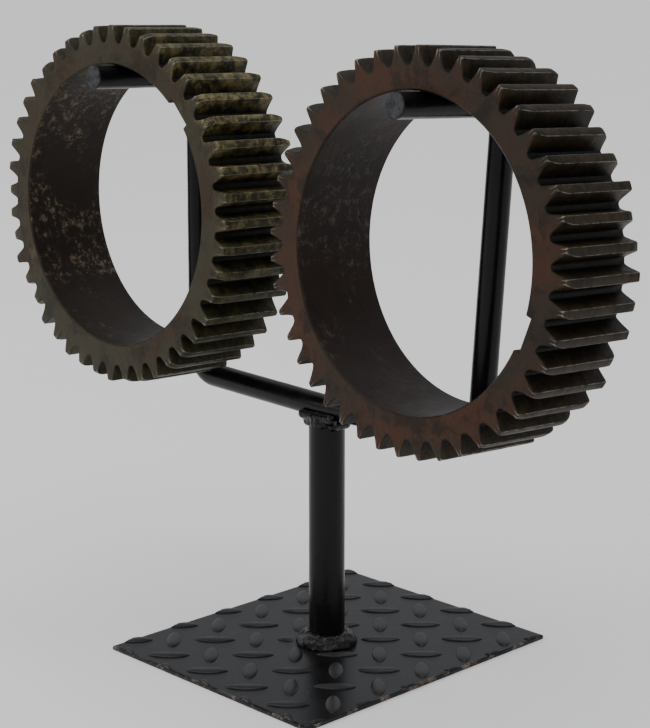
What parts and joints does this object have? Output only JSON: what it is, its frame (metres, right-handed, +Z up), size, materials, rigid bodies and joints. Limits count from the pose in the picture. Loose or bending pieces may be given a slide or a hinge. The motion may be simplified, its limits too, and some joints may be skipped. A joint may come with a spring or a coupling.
{
  "type": "spur ring gear pair on stand",
  "caption": "Matching straight-tooth ring gears with keyed bores, hung on the forward pegs of a black welded bar stand on a tread-plate foot.",
  "frame": {"origin": "on the ground under the post's axis, on the base plate's flat underside, 3 mm from its middle", "axes": "+Z up, +X along the stand's bar towards the right-hand gear, -Y towards the front, which the pegs point to"},
  "size_m": [0.5519, 0.2408, 0.4415],
  "materials": {
    "plate_enamel": "semi-gloss black enamel on rolled tread plate, dusty, bare and rusty at the cut edges",
    "bar_enamel": "semi-gloss black enamel, brushed on",
    "weld_enamel": "lumpy weld under glossy black enamel",
    "olive_steel": "oily used steel, olive-grey patina with tan grease stains",
    "brown_steel": "oily used steel, dark brown face, bright worn tooth edges"
  },
  "bodies": {
    "stand": {"base_plate": "plate_enamel", "post": "bar_enamel", "yoke": "bar_enamel", "left_peg": "bar_enamel", "right_peg": "bar_enamel", "base_weld": "weld_enamel", "head_weld": "weld_enamel", "left_peg_weld": "weld_enamel", "right_peg_weld": "weld_enamel"},
    "left_gear": {"left_gear": "olive_steel"},
    "right_gear": {"right_gear": "brown_steel"}
  },
  "joints": [
    {"name": "left_gear_spin", "type": "hinge", "parent": "stand", "child": "left_gear", "pos_m": [-0.14665, -0.04049, 0.31229], "axis": [-0.0105, -0.9994, 0.0332], "continuous": true},
    {"name": "right_gear_spin", "type": "hinge", "parent": "stand", "child": "right_gear", "pos_m": [0.14911, -0.04326, 0.31217], "axis": [-0.0244, -0.9983, 0.0523], "continuous": true}
  ]
}
